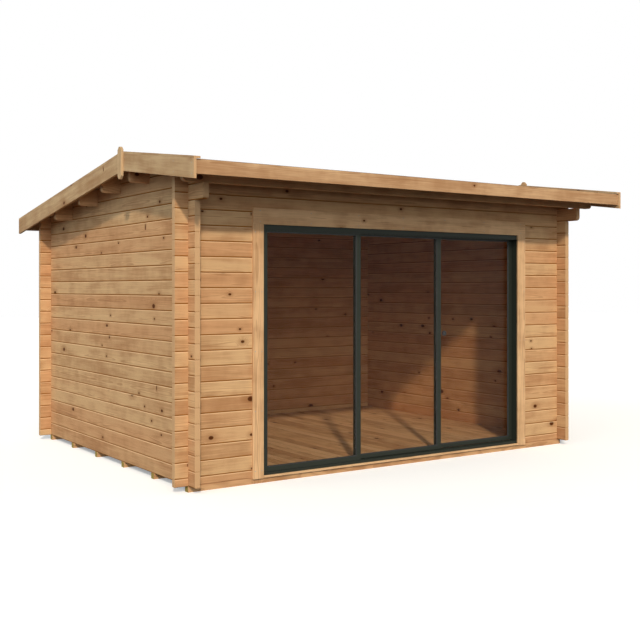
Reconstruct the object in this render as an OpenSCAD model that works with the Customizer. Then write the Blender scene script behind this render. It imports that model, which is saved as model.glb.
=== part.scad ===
// Garden log cabin: interlocking log walls, a shallow gable roof and a sliding glass door.
// X runs along the front from left to right, Y from front to back and Z up.
// The ground is Z = 0 and the middle of the roof's plan is X = Y = 0.

/* [House] */
// Width over the outer faces of the side walls
house_w = 3900; // [3300:50:6000]
// Depth over the outer faces of the front and back walls
house_d = 3000; // [2400:50:4200]

/* [Logs] */
// Height that one log covers
log_h = 114; // [90:1:150]
// Thickness of a log
log_t = 44; // [28:1:70]
// Length of the log ends beyond the corners
log_out = 105; // [60:5:180]
// Chamfer along a log's edges, which makes the V groove
log_chamfer = 5; // [2:0.5:8]
// Height of the tongues
tongue_h = 8; // [5:0.5:12]
// Width of each tongue
tongue_w = 6; // [4:0.5:8]
// Whole logs in a side wall below the log that carries the eave
side_courses = 18; // [15:1:22]

/* [Roof] */
// Pitch of both roof slopes
roof_pitch = 8; // [5:0.5:14]
// Distance of the ridge from the front wall's outer face
ridge_y = 685; // [500:5:1500]
// Roof overhang in front of the front wall
roof_front = 525; // [350:5:800]
// Roof overhang behind the back wall
roof_back = 260; // [180:5:500]
// Roof overhang beyond the side walls
roof_side = 220; // [160:5:400]
// Thickness of the roof boards
deck_t = 19; // [16:1:28]
// Thickness of the roofing felt
felt_t = 3; // [2:0.5:5]

/* [Purlins] */
// Height of the back slope's purlins
purlin_h = 150; // [110:5:200]
// Height of the ridge purlin
ridge_h = 195; // [150:5:240]
// Purlin ends beyond the side walls
purlin_out = 160; // [110:5:210]
// Places of the back purlins, as shares of the way from the ridge to the back wall
back_purlin_at = [0.25, 0.47, 0.74];
// Nose of the eave log in front of the front wall
eave_nose = 237; // [180:1:320]
// Radius of the rounded lower corners of purlins and eave logs
nose_r = 32; // [15:1:50]

/* [Roof edges] */
// Height of a bargeboard, measured plumb
barge_h = 133; // [100:1:180]
// Thickness of a bargeboard
barge_t = 20; // [16:1:28]
// Height of the eave boards
fascia_h = 98; // [80:1:140]
// Thickness of the eave boards
fascia_t = 18; // [16:1:28]
// Distance of the eave boards behind the bargeboard ends
fascia_set = 12; // [0:1:30]
// Width of the strip along the roof's side edge
edge_w = 50; // [35:1:80]
// Thickness of that strip
edge_t = 16; // [12:1:22]
// Width of the pointed board over each bargeboard joint
finial_w = 68; // [50:1:110]
// Length of that board
finial_h = 247; // [200:1:320]
// Height of its tip over the bargeboards
finial_up = 49; // [20:1:90]

/* [Base] */
// Height of the foundation joists
joist_h = 45; // [38:1:80]
// Width of the foundation joists
joist_w = 50; // [40:1:80]
// Number of foundation joists
joist_count = 6; // [4:1:9]
// Distance of the last joist from the back wall's outer face
joist_back = 30; // [0:1:60]
// Thickness of the floor boards
floor_t = 18; // [16:1:28]
// Gap between the floor and the walls
floor_gap = 5; // [3:1:10]

/* [Door] */
// Left side of the door frame, from the left wall's outer face
door_x = 570; // [500:5:900]
// Width of the door frame
door_w = 2810; // [2000:1:3200]
// Height of the door frame
door_h = 1910; // [1700:5:1990]
// Thickness of the threshold board under the frame
threshold_t = 10; // [8:1:20]
// Width of the jambs
jamb_w = 50; // [40:1:70]
// Distance between the tracks
track_pitch = 29; // [28:1:45]
// Thickness of a sliding panel
panel_t = 20; // [18:1:24]
// Thickness of the fins between the panels
fin_t = 3; // [2:0.5:4]
// Thickness of the frame's head and sill plates
plate_t = 12; // [8:1:16]
// Set back of the frame from the front wall's outer face
frame_set = 1; // [1:1:20]
// Width of the panels' upright rails
stile_w = 42; // [35:1:60]
// Height of the panels' top rail
top_rail = 46; // [30:1:60]
// Height of the panels' bottom rail
bottom_rail = 32; // [26:1:60]
// Thickness of the glass
glass_t = 8; // [6:0.5:10]
// Depth of the glass in the rails
glass_in = 9; // [6:0.5:10]
// Gap between a panel and each jamb
panel_gap = 5; // [5:1:10]
// Radius of a roller's running face
roller_r = 9; // [8:0.5:12]
// Distance of the rollers from the panel's ends
roller_in = 120; // [80:5:200]
// Height of the finger pull over the walls' base
pull_z = 1033; // [850:1:1200]
// Radius of the finger pull
pull_r = 21; // [16:1:30]
// Distance of the finger pull from the rail
pull_in = 70; // [32:1:80]

/* [Casing] */
// Width of the upright boards beside the door
casing_w = 93; // [80:1:150]
// Height of the board over the door
casing_h = 121; // [90:1:150]
// Thickness of the boards around the door
casing_t = 18; // [14:1:25]
// Overlap of the outer upright boards on the door frame
casing_lap = 55; // [5:1:60]
// Overlap of the outer top board on the door frame
casing_top_lap = 13; // [5:1:20]
// Chamfer along the outer boards' front edges
casing_chamfer = 3; // [1:0.5:5]
// Lower ends of the outer upright boards under the walls' base
casing_drop = 8; // [0:1:20]

/* [Hidden] */
$fn = 48;
fit = 0.4;              // play between logs and in their joints
seat = 0.3;             // play where a piece rests on its support
feather = 2;            // thickness at which a tapered log end stops
min_neck = 10;          // least height of a halved log at a corner
wall_gap = 6;           // play between the door frame and the logs
root = 1;               // depth by which an added shape grows out of its base
tongue_taper = 1;       // narrowing of a tongue's side towards its top
notch_z = log_h / 4;    // height of one corner halving
low_share = 0.05;       // least share of a log under the roof that counts as a log
over_share = 0.2;       // least share of a log's height left over the door
threshold_nose = 20;    // threshold in front of the logs
threshold_drop = 4;     // nosing under the walls' base
threshold_edge = 3;     // chamfer of the nosing
jamb_skin = 3;          // wall thickness of the jamb profiles
rib_w = 4;              // running rib on the sill plate
rib_h = 10;
lip_h = 8;              // upstands at the sill plate's front and back
fin_h = 43;             // guide fins under the head plate
panel_lift = 5;         // bottom rail over the rib
panel_drop = 8;         // top rail under the head plate
rail_skin = 4;          // wall thickness of the panel rails
roller_play = 4;        // room around a roller in its pocket
roller_flange = 2;
roller_taper = 0.8;
axle_r = 2.5;
pull_rim = 2.5;         // rim of the finger pull in front of the glass
pull_seat = 4;          // width of that rim
pull_dish = 4;          // depth of the pull's dish
finial_point = finial_w * 0.35;
finial_flat = finial_w * 0.15;

far = 12000;            // beyond every piece
slope = tan(roof_pitch);
front_z = (side_courses + 2.5) * log_h;      // roof underside at the front wall's outer face
ridge_z = front_z + slope * ridge_y;
deck_v = deck_t / cos(roof_pitch);           // plumb thickness of the roof boards
felt_v = felt_t / cos(roof_pitch);
deck_low = seat;
deck_top = deck_low + deck_v;
felt_low = deck_top + seat;
felt_top = felt_low + felt_v;
roof_y0 = -roof_front;
roof_y1 = house_d + roof_back;
deck_y0 = roof_y0 + fascia_set + fascia_t + seat;
deck_y1 = roof_y1 - fascia_set - fascia_t - seat;
inner_x0 = -roof_side + barge_t + seat;      // between the bargeboards
inner_x1 = house_w + roof_side - barge_t - seat;

wall_lines = [0, house_d - log_t];           // front faces of the front and back walls
side_lines = [0, house_w - log_t];           // left faces of the side walls
front_top = floor(roof_z(0) / log_h - low_share);
back_top = floor(roof_z(house_d) / log_h - low_share);
gable_top = ceil((ridge_z - notch_z) / log_h) - 1;

opening_x0 = door_x - wall_gap;
opening_x1 = door_x + door_w + wall_gap;
frame_z0 = threshold_t + seat;
frame_z1 = frame_z0 + door_h;
opening_z1 = frame_z1 + wall_gap;
over_from = floor(opening_z1 / log_h + 0.5 + over_share);  // first log that spans the door
frame_d = 3 * track_pitch + fin_t;
frame_y0 = frame_set;
frame_y1 = frame_set + frame_d;
jamb_x0 = door_x + jamb_w;                   // clear way between the jambs
jamb_x1 = door_x + door_w - jamb_w;
sill_top = frame_z0 + plate_t;
rib_z = sill_top + rib_h;
head_low = frame_z1 - plate_t;
panel_w = (jamb_x1 - jamb_x0 - 2 * panel_gap + 2 * stile_w) / 3;
panel_step = panel_w - stile_w;
panel_z0 = rib_z + panel_lift;
panel_z1 = head_low - panel_drop;
panel_x = [for (i = [0:2]) jamb_x0 + panel_gap + i * panel_step];
track_y = [for (i = [0:2]) frame_y0 + fin_t / 2 + (i + 0.5) * track_pitch];
groove_w = glass_t + 2 * fit;
roller_z = rib_z + seat + roller_r;
pull_x = panel_x[2] + stile_w + pull_in;
casing_x0 = door_x + casing_lap - casing_w;  // outer sides of the outer upright boards
casing_x1 = door_x + door_w - casing_lap + casing_w;
casing_z = frame_z1 - casing_top_lap;        // underside of the outer top board

pine = [0.80, 0.62, 0.42];
pine_pale = [0.84, 0.68, 0.48];
treated = [0.55, 0.50, 0.36];
felt_grey = [0.20, 0.21, 0.22];
anthracite = [0.14, 0.17, 0.17];

// Underside of the roof boards over a place Y
function roof_z(y) = y < ridge_y ? front_z + slope * y : ridge_z - slope * (y - ridge_y);
// Places Y where the roof's underside is at height Z
function roof_front_y(z) = ridge_y - (ridge_z - z) / slope;
function roof_back_y(z) = ridge_y + (ridge_z - z) / slope;

// The back purlins' front faces
purlin_run = house_d - log_t / 2 - ridge_y;
back_purlin_y = [for (s = back_purlin_at) ridge_y + s * purlin_run - log_t / 2];
// Front face and bottom of every purlin that the gables carry
purlins = concat([[ridge_y - log_t / 2, ridge_z - ridge_h]],
                 [for (y = back_purlin_y) [y, roof_z(y) - purlin_h]]);

// Ends of a side log: halved over the front and back walls where the roof leaves room
function log_y0(course) =
    roof_z(0) > course * log_h + notch_z + min_neck ? -log_out
    : max(log_t + fit, roof_front_y(course * log_h + feather));
function log_y1(course) =
    roof_z(house_d) > course * log_h + notch_z + min_neck ? house_d + log_out
    : min(house_d - log_t - fit, roof_back_y(course * log_h + feather));

module place() {
    translate([-house_w / 2, -(roof_y0 + roof_y1) / 2, joist_h]) children();
}

// A profile drawn in Y and Z, extruded along X
module along_x(x0, x1) {
    translate([x0, 0, 0]) rotate([90, 0, 90]) linear_extrude(x1 - x0) children();
}

// A profile drawn in X and Z, extruded along Y
module along_y(y0, y1) {
    translate([0, y1, 0]) rotate([90, 0, 0]) linear_extrude(y1 - y0) children();
}

// A block from one corner to the other
module block(a, b) {
    translate(a) cube(b - a);
}

// Strip that follows the roof's underside from y0 to y1, between two plumb offsets
module roof_strip(y0, y1, low, high) {
    crest = y0 < ridge_y && ridge_y < y1 ? [ridge_y] : [];
    ys = concat([y0], crest, [y1]);
    last = len(ys) - 1;
    polygon(concat([for (y = ys) [y, roof_z(y) + low]],
                   [for (i = [last:-1:0]) [ys[i], roof_z(ys[i]) + high]]));
}

// Everything above the roof's underside
module above_roof() {
    along_x(-far, far) roof_strip(-far / 2, far / 2, 0, far);
}

// Cross-section of a log: chamfered edges, two tongues on top, two grooves below
module log_section(z0, z1, tongues, grooves) {
    c = log_chamfer;
    at = [log_t / 2 - log_t / 6, log_t / 2 + log_t / 6];
    up = tongue_h - fit;
    difference() {
        union() {
            polygon([[0, z0 + c], [c, z0], [log_t - c, z0], [log_t, z0 + c],
                     [log_t, z1 - c], [log_t - c, z1], [c, z1], [0, z1 - c]]);
            if (tongues)
                for (x = at)
                    polygon([[x - tongue_w / 2, z1 - root], [x + tongue_w / 2, z1 - root],
                             [x + tongue_w / 2 - tongue_taper, z1 + up],
                             [x - tongue_w / 2 + tongue_taper, z1 + up]]);
        }
        if (grooves)
            for (x = at)
                polygon([[x - tongue_w / 2 - fit, z0 - root], [x + tongue_w / 2 + fit, z0 - root],
                         [x + tongue_w / 2 - tongue_taper + fit, z0 + tongue_h + fit],
                         [x - tongue_w / 2 + tongue_taper - fit, z0 + tongue_h + fit]]);
    }
}

// Cut that rounds the lower front corner of a log end at (y, z)
module nose_cut(y, z) {
    along_x(-far, far) difference() {
        translate([y - root, z - root]) square(nose_r + root);
        translate([y + nose_r, z + nose_r]) circle(nose_r);
    }
}

// Pockets in a side wall for the purlins
module purlin_pockets(z_top) {
    for (p = purlins)
        if (p[1] - fit < z_top)
            block([-far, p[0] - fit, p[1] - fit], [far, p[0] + log_t + fit, far]);
}

// One log of a side wall, with halvings over the front and back walls
module side_log(course, y0, y1, last = false) {
    z0 = course * log_h + (course == 0 ? seat : fit / 2);
    z1 = last ? ridge_z : (course + 1) * log_h - fit / 2;
    under_roof = roof_z(y1) < z1 + tongue_h || roof_z(y0) < z1 + tongue_h || last;
    difference() {
        along_y(y0, y1) log_section(z0, z1, !last, course > 0);
        for (side = [[wall_lines[0], front_top], [wall_lines[1], back_top]])
            for (j = [course, course + 1])
                if (j <= side[1])
                    block([-root, side[0] - fit, j * log_h - (j == 0 ? far : notch_z + fit / 2)],
                          [log_t + root, side[0] + log_t + fit, j * log_h + notch_z + fit / 2]);
        if (under_roof) above_roof();
        purlin_pockets(z1 + tongue_h);
    }
}

// One log of the front or back wall, from x0 to x1, at the wall line y
module wall_log(course, x0, x1, y, top) {
    z0 = course == 0 ? seat : (course - 0.5) * log_h + fit / 2;
    z1 = (course + 0.5) * log_h - fit / 2;
    difference() {
        translate([0, y, 0]) along_x(x0, x1)
            log_section(z0, course == top ? z1 + log_h : z1, course < top, course > 0);
        for (x = side_lines)
            for (k = [max(0, course - 1):course + 1])
                block([x - fit, y - root, k * log_h + notch_z - fit / 2],
                      [x + log_t + fit, y + log_t + root,
                       k == top ? far : (k + 1) * log_h - notch_z + fit / 2]);
        if (course == top) above_roof();
    }
}

// A purlin with rounded lower end corners and its top cut to the roof
module purlin(y, z) {
    x0 = -purlin_out;
    x1 = house_w + purlin_out;
    difference() {
        along_y(y, y + log_t) {
            translate([x0, z + nose_r]) square([x1 - x0, ridge_z - z]);
            translate([x0 + nose_r, z]) square([x1 - x0 - 2 * nose_r, log_t]);
            for (x = [x0 + nose_r, x1 - nose_r]) translate([x, z + nose_r]) circle(nose_r);
        }
        above_roof();
    }
}

module foundation_joists() {
    step = (house_d - joist_back - joist_w) / (joist_count - 1);
    color(treated) place()
        for (i = [0:joist_count - 1])
            block([0, i * step, -joist_h], [house_w, i * step + joist_w, 0]);
}

module floor_boards() {
    g = log_t + floor_gap;
    color(pine_pale) place() difference() {
        block([g, g, seat], [house_w - g, house_d - g, seat + floor_t]);
        block([opening_x0, 0, -root], [opening_x1, frame_y1 + floor_gap, floor_t + root]);
    }
}

// Board under the door frame, with a nosing in front of the logs
module threshold() {
    back = frame_y1 + floor_gap - seat;
    x0 = door_x + casing_lap + seat;
    x1 = door_x + door_w - casing_lap - seat;
    color(pine_pale) place() along_x(x0, x1)
        polygon([[-threshold_nose, -threshold_drop], [-seat, -threshold_drop],
                 [-seat, seat], [back, seat], [back, threshold_t],
                 [threshold_edge - threshold_nose, threshold_t],
                 [-threshold_nose, threshold_t - threshold_edge]]);
}

module front_wall_left() {
    color(pine) place()
        for (j = [0:over_from - 1]) wall_log(j, -log_out, opening_x0, 0, front_top);
}

module front_wall_right() {
    color(pine) place()
        for (j = [0:over_from - 1]) wall_log(j, opening_x1, house_w + log_out, 0, front_top);
}

module front_wall_over_door() {
    color(pine) place() difference() {
        for (j = [over_from:front_top]) wall_log(j, -log_out, house_w + log_out, 0, front_top);
        block([opening_x0, -root, 0], [opening_x1, log_t + root, opening_z1]);
    }
}

module back_wall() {
    color(pine) place()
        for (j = [0:back_top])
            wall_log(j, -log_out, house_w + log_out, wall_lines[1], back_top);
}

module side_wall() {
    for (k = [0:side_courses - 1]) side_log(k, log_y0(k), log_y1(k));
}

// The long log whose nose carries the eave purlin
module eave_log() {
    z0 = side_courses * log_h;
    difference() {
        side_log(side_courses, -eave_nose, log_y1(side_courses));
        nose_cut(-eave_nose, z0 + fit / 2);
        block([-root, -far, z0 + log_h - fit / 2], [log_t + root, -log_out, far]);
    }
}

module gable() {
    for (k = [side_courses + 1:gable_top])
        side_log(k, log_y0(k), log_y1(k), k == gable_top);
}

module right_side() {
    translate([house_w - log_t, 0, 0]) children();
}

module left_wall() { color(pine) place() side_wall(); }
module right_wall() { color(pine) place() right_side() side_wall(); }
module left_eave_log() { color(pine) place() eave_log(); }
module right_eave_log() { color(pine) place() right_side() eave_log(); }
module left_gable() { color(pine) place() gable(); }
module right_gable() { color(pine) place() right_side() gable(); }

module eave_purlin() {
    color(pine) place() purlin(-eave_nose, (side_courses + 1) * log_h + fit / 2);
}

module ridge_purlin() {
    color(pine) place() purlin(purlins[0][0], purlins[0][1]);
}

module back_purlins() {
    color(pine) place()
        for (i = [1:len(purlins) - 1]) purlin(purlins[i][0], purlins[i][1]);
}

module roof_deck_front() {
    color(pine_pale) place() along_x(inner_x0, inner_x1)
        roof_strip(deck_y0, ridge_y - seat / 2, deck_low, deck_top);
}

module roof_deck_back() {
    color(pine_pale) place() along_x(inner_x0, inner_x1)
        roof_strip(ridge_y + seat / 2, deck_y1, deck_low, deck_top);
}

module roof_felt() {
    color(felt_grey) place() along_x(inner_x0, inner_x1)
        roof_strip(roof_y0 + fascia_set, roof_y1 - fascia_set, felt_low, felt_top);
}

// Eave board, from y0 back to y1, under the felt
module fascia(y0, y1) {
    low = min(roof_z(y0), roof_z(y1)) + deck_top - fascia_h;
    color(pine) place() along_x(inner_x0, inner_x1)
        polygon([[y0, low], [y1, low], [y1, roof_z(y1) + deck_top], [y0, roof_z(y0) + deck_top]]);
}

module front_fascia() { fascia(roof_y0 + fascia_set, roof_y0 + fascia_set + fascia_t); }
module back_fascia() { fascia(roof_y1 - fascia_set - fascia_t, roof_y1 - fascia_set); }

// Bargeboard with its outer face at the roof's side, mirrored for the right side
module bargeboard(y0, y1) {
    color(pine) along_x(-roof_side, -roof_side + barge_t)
        roof_strip(y0, y1, felt_top - barge_h, felt_top);
}

module edge_strips() {
    color(pine) for (part = [[roof_y0, ridge_y - seat / 2], [ridge_y + seat / 2, roof_y1]])
        along_x(-roof_side, -roof_side + edge_w)
            roof_strip(part[0], part[1], felt_top + seat, felt_top + seat + edge_t);
}

// Pointed board over the joint of two bargeboards
module finial() {
    z1 = ridge_z + felt_top + finial_up;
    z0 = z1 - finial_h;
    half = finial_w / 2;
    color(pine_pale) along_x(-roof_side - barge_t - seat, -roof_side - seat)
        translate([ridge_y, 0])
            polygon([[-finial_flat, z0], [finial_flat, z0],
                     [half, z0 + finial_point], [half, z1 - finial_point],
                     [finial_flat, z1], [-finial_flat, z1],
                     [-half, z1 - finial_point], [-half, z0 + finial_point]]);
}

module on_right() {
    translate([house_w, 0, 0]) mirror([1, 0, 0]) children();
}

module left_front_bargeboard() { place() bargeboard(roof_y0, ridge_y - seat / 2); }
module left_back_bargeboard() { place() bargeboard(ridge_y + seat / 2, roof_y1); }
module right_front_bargeboard() { place() on_right() bargeboard(roof_y0, ridge_y - seat / 2); }
module right_back_bargeboard() { place() on_right() bargeboard(ridge_y + seat / 2, roof_y1); }
module left_edge_strips() { place() edge_strips(); }
module right_edge_strips() { place() on_right() edge_strips(); }
module left_finial() { place() finial(); }
module right_finial() { place() on_right() finial(); }

// One of the outer boards around the door
module outer_board(x0, z0, x1, z1) {
    e = casing_chamfer;
    color(pine_pale) place() translate([0, 0, z0]) linear_extrude(z1 - z0)
        polygon([[x0, -seat], [x0, -casing_t + e], [x0 + e, -casing_t],
                 [x1 - e, -casing_t], [x1, -casing_t + e], [x1, -seat]]);
}

module door_casing_left() {
    outer_board(casing_x0, -casing_drop, casing_x0 + casing_w, casing_z - seat);
}

module door_casing_right() {
    outer_board(casing_x1 - casing_w, -casing_drop, casing_x1, casing_z - seat);
}

module door_casing_top() {
    outer_board(casing_x0, casing_z, casing_x1, casing_z + casing_h);
}

// Boards that close the joint between the frame and the inner wall face
module inner_casing() {
    y0 = log_t + seat;
    y1 = y0 + casing_t;
    z0 = floor_t + 2 * seat;
    x0 = door_x - seat;
    x1 = door_x + door_w + seat;
    top = frame_z1 + seat;
    color(pine_pale) place() {
        block([x0 - casing_w, y0, z0], [x0, y1, top - seat]);
        block([x1, y0, z0], [x1 + casing_w, y1, top - seat]);
        block([x0 - casing_w, y0, top], [x1 + casing_w, y1, top + casing_h]);
    }
}

module door_head() {
    color(anthracite) place()
        block([door_x, frame_y0, head_low], [door_x + door_w, frame_y1, frame_z1]);
}

module door_head_fins() {
    color(anthracite) place()
        for (i = [0:3])
            block([jamb_x0 + seat, frame_y0 + i * track_pitch, head_low - fin_h],
                  [jamb_x1 - seat, frame_y0 + i * track_pitch + fin_t, head_low - seat]);
}

// Sill plate with one running rib for each panel and an upstand at front and back
module door_sill() {
    color(anthracite) place() {
        block([door_x, frame_y0, frame_z0], [door_x + door_w, frame_y1, sill_top]);
        along_x(jamb_x0 + seat, jamb_x1 - seat) {
            for (y = track_y)
                translate([y - rib_w / 2, sill_top - root]) square([rib_w, rib_h + root]);
            for (y = [frame_y0, frame_y1 - fin_t])
                translate([y, sill_top - root]) square([fin_t, lip_h + root]);
        }
    }
}

// Jambs: hollow box profiles that stand on the sill plate
module door_jambs() {
    cell = (frame_d - 4 * jamb_skin) / 3;
    color(anthracite) place()
        for (x = [door_x, jamb_x1])
            translate([x, frame_y0, sill_top + seat])
                linear_extrude(head_low - sill_top - 2 * seat) difference() {
                    square([jamb_w, frame_d]);
                    for (i = [0:2])
                        translate([jamb_skin, jamb_skin + i * (cell + jamb_skin)])
                            square([jamb_w - 2 * jamb_skin, cell]);
                }
}

// Panel frame at its place i, 0 on the left; z0 is the underside of its bottom rail
module panel_frame(i, z0) {
    x0 = panel_x[i];
    y0 = track_y[i] - panel_t / 2;
    low = panel_z0 + bottom_rail;
    color(anthracite) place() difference() {
        block([x0, y0, z0], [x0 + panel_w, y0 + panel_t, panel_z1]);
        block([x0 + stile_w, y0 - root, low],
              [x0 + panel_w - stile_w, y0 + panel_t + root, panel_z1 - top_rail]);
        block([x0 + stile_w - glass_in - fit, track_y[i] - groove_w / 2, low - glass_in - fit],
              [x0 + panel_w - stile_w + glass_in + fit, track_y[i] + groove_w / 2,
               panel_z1 - top_rail + glass_in + fit]);
        if (z0 == panel_z0)
            for (x = [x0 + roller_in, x0 + panel_w - roller_in]) roller_pocket(x, track_y[i]);
    }
}

module roller_pocket(x, y) {
    r = roller_r + roller_play;
    half = panel_t / 2 - rail_skin;
    block([x - r, y - half, panel_z0 - root], [x + r, y + half, roller_z + r]);
}

module panel_glass(i) {
    x0 = panel_x[i] + stile_w - glass_in;
    x1 = panel_x[i] + panel_w - stile_w + glass_in;
    low = panel_z0 + bottom_rail - glass_in;
    color([0.35, 0.28, 0.22, 0.5]) place() difference() {
        block([x0, track_y[i] - glass_t / 2, low],
              [x1, track_y[i] + glass_t / 2, panel_z1 - top_rail + glass_in]);
        if (i == 2)
            translate([pull_x, track_y[i], pull_z]) rotate([90, 0, 0])
                cylinder(h = track_pitch, r = pull_r - pull_seat + seat, center = true);
    }
}

// Two flanged rollers on their axles, running on the sill's rib
module panel_rollers(i) {
    rim = roller_r + roller_flange;
    groove = rib_w / 2 + fit;
    side = groove + roller_flange;
    axle = panel_t / 2 - rail_skin - seat;
    color("dimgray") place()
        for (x = [panel_x[i] + roller_in, panel_x[i] + panel_w - roller_in])
            translate([x, track_y[i], roller_z]) rotate([90, 0, 0]) rotate_extrude()
                polygon([[0, -axle], [axle_r, -axle], [axle_r, -side], [rim, -side],
                         [rim, -groove - roller_taper], [roller_r, -groove], [roller_r, groove],
                         [rim, groove + roller_taper], [rim, side], [axle_r, side],
                         [axle_r, axle], [0, axle]]);
}

// Round dished pull that passes through the glass
module finger_pull() {
    half = glass_t / 2 + seat + pull_rim;
    slope_r = pull_r - pull_seat - root;
    dish_r = slope_r - pull_dish + root;
    color("darkslategray") place()
        translate([pull_x, track_y[2], pull_z]) rotate([90, 0, 0]) rotate_extrude()
            polygon([[0, pull_dish - half], [dish_r, pull_dish - half], [slope_r, -half],
                     [pull_r, -half], [pull_r, pull_rim - half],
                     [pull_r - pull_seat, pull_rim - half], [pull_r - pull_seat, half - pull_rim],
                     [pull_r, half - pull_rim], [pull_r, half], [slope_r, half],
                     [dish_r, half - pull_dish], [0, half - pull_dish]]);
}

module left_panel_frame() { panel_frame(0, rib_z + seat); }
module left_panel_glass() { panel_glass(0); }
module middle_panel_frame() { panel_frame(1, panel_z0); }
module middle_panel_glass() { panel_glass(1); }
module middle_panel_rollers() { panel_rollers(1); }
module right_panel_frame() { panel_frame(2, panel_z0); }
module right_panel_glass() { panel_glass(2); }
module right_panel_rollers() { panel_rollers(2); }

foundation_joists();
floor_boards();  // floor
threshold();
front_wall_left();
front_wall_right();
front_wall_over_door();
back_wall();
left_wall();
right_wall();
left_eave_log();
right_eave_log();
left_gable();
right_gable();
eave_purlin();
ridge_purlin();
back_purlins();
roof_deck_front();
roof_deck_back();
roof_felt();
front_fascia();
back_fascia();
left_front_bargeboard();
left_back_bargeboard();
right_front_bargeboard();
right_back_bargeboard();
left_edge_strips();
right_edge_strips();
left_finial();
right_finial();
door_casing_left();
door_casing_right();
door_casing_top();
inner_casing();
door_head();
door_head_fins();
door_sill();
door_jambs();
left_panel_frame();
left_panel_glass();
middle_panel_frame();
middle_panel_glass();
middle_panel_rollers();
right_panel_frame();
right_panel_glass();
right_panel_rollers();
finger_pull();
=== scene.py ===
# %% [markdown]
# # A log garden house with a sliding glass door
#
# The house stands as 46 named pieces already: every log, board, rail and pane has its place and size.
# What follows dresses them. It gives each finish a material, lays the thin things that a size model
# leaves out (single boards, sheets of felt, seals, nails), and sets up a daylight studio around it.

# %% The frame
import math
import random

import bpy
import bmesh
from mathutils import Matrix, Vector


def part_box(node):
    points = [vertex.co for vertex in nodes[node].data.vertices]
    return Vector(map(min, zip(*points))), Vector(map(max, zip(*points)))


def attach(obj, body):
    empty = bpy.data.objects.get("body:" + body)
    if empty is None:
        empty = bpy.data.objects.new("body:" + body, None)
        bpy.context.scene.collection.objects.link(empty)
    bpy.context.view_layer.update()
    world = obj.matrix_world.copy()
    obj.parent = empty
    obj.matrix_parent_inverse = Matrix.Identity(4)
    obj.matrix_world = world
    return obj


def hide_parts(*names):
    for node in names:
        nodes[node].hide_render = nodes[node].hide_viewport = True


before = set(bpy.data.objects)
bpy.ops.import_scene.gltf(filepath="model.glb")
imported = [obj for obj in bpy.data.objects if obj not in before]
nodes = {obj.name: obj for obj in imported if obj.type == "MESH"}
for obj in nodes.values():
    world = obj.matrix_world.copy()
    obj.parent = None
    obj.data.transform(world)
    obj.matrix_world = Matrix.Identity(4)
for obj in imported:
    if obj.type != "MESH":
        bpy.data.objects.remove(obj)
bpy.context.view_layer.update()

scene = bpy.context.scene

# %% [markdown]
# ## Sizes that everything else follows
#
# A log wall is a stack of equal courses, so one number, the height that a log covers, places every
# joint in it. It could be typed in, but then it would be wrong as soon as the house is built taller.
# Here it is read off the frame: the eave purlin lies on the nineteenth course. The roof's slope comes
# the same way, from two bargeboards of one height and unequal length.

# %% Driving sizes, read from the frame
def span(name, axis):
    """Lowest and highest coordinate of a piece along one axis."""
    low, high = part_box(name)
    return low[axis], high[axis]


def middle(name, axis):
    low, high = span(name, axis)
    return (low + high) / 2


def length_and_rise(name):
    low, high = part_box(name)
    return high.y - low.y, high.z - low.z


X, Y, Z = 0, 1, 2
COURSES_TO_PURLIN = 19
base_z = span("foundation_joists", Z)[1]
log_height = (span("eave_purlin", Z)[0] - base_z) / COURSES_TO_PURLIN
short_run, short_rise = length_and_rise("left_front_bargeboard")
long_run, long_rise = length_and_rise("left_back_bargeboard")
roof_slope = (long_rise - short_rise) / (long_run - short_run)
roof_pitch = math.atan(roof_slope)
ridge_y = (span("roof_deck_front", Y)[1] + span("roof_deck_back", Y)[0]) / 2
ridge_z = span("roof_deck_back", Z)[1]
print("log height %.4f m, roof pitch %.2f degrees" % (log_height, math.degrees(roof_pitch)))

# %% [markdown]
# ## Small tools for node trees
#
# A material is a graph, and graphs get long when every node takes four lines. Two helpers keep them
# readable: one adds a node and plugs in whatever it is given, the other writes a sum as one line.

# %% Node helpers
def plug(tree, socket, value):
    """Link a socket into another, or write a plain value on it."""
    if isinstance(value, bpy.types.NodeSocket):
        tree.links.new(value, socket)
    else:
        socket.default_value = value


def add(tree, kind, inputs=None, **settings):
    node = tree.nodes.new("ShaderNode" + kind)
    for name, value in settings.items():
        setattr(node, name, value)
    for name, value in (inputs or {}).items():
        plug(tree, node.inputs[name], value)
    return node


def calc(tree, operation, *values):
    """One Math node; its output socket."""
    node = add(tree, "Math", operation=operation)
    for i, value in enumerate(values):
        plug(tree, node.inputs[i], value)
    return node.outputs[0]


def times(tree, *values):
    """The product of any number of values."""
    total = values[0]
    for value in values[1:]:
        total = calc(tree, "MULTIPLY", total, value)
    return total


def vector_calc(tree, operation, a, b):
    node = add(tree, "VectorMath", operation=operation)
    plug(tree, node.inputs[0], a)
    plug(tree, node.inputs[1], b)
    return node.outputs[0]


def blend(tree, share, a, b):
    """Mix two colours."""
    node = add(tree, "Mix", data_type="RGBA")
    plug(tree, node.inputs["Factor"], share)
    plug(tree, node.inputs[6], a)
    plug(tree, node.inputs[7], b)
    return node.outputs[2]


def ramp(tree, value, low, high, to_low=0.0, to_high=1.0):
    """Carry a value smoothly from one range to another."""
    node = add(tree, "MapRange", interpolation_type="SMOOTHSTEP")
    for name, number in (("Value", value), ("From Min", low), ("From Max", high),
                         ("To Min", to_low), ("To Max", to_high)):
        plug(tree, node.inputs[name], number)
    return node.outputs["Result"]


def noise(tree, place, scale, detail=2.0, roughness=0.5):
    """Smooth noise from 0 to 1."""
    node = add(tree, "TexNoise", {"Vector": place, "Scale": scale, "Detail": detail,
                                  "Roughness": roughness})
    return node.outputs["Fac"]


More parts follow.
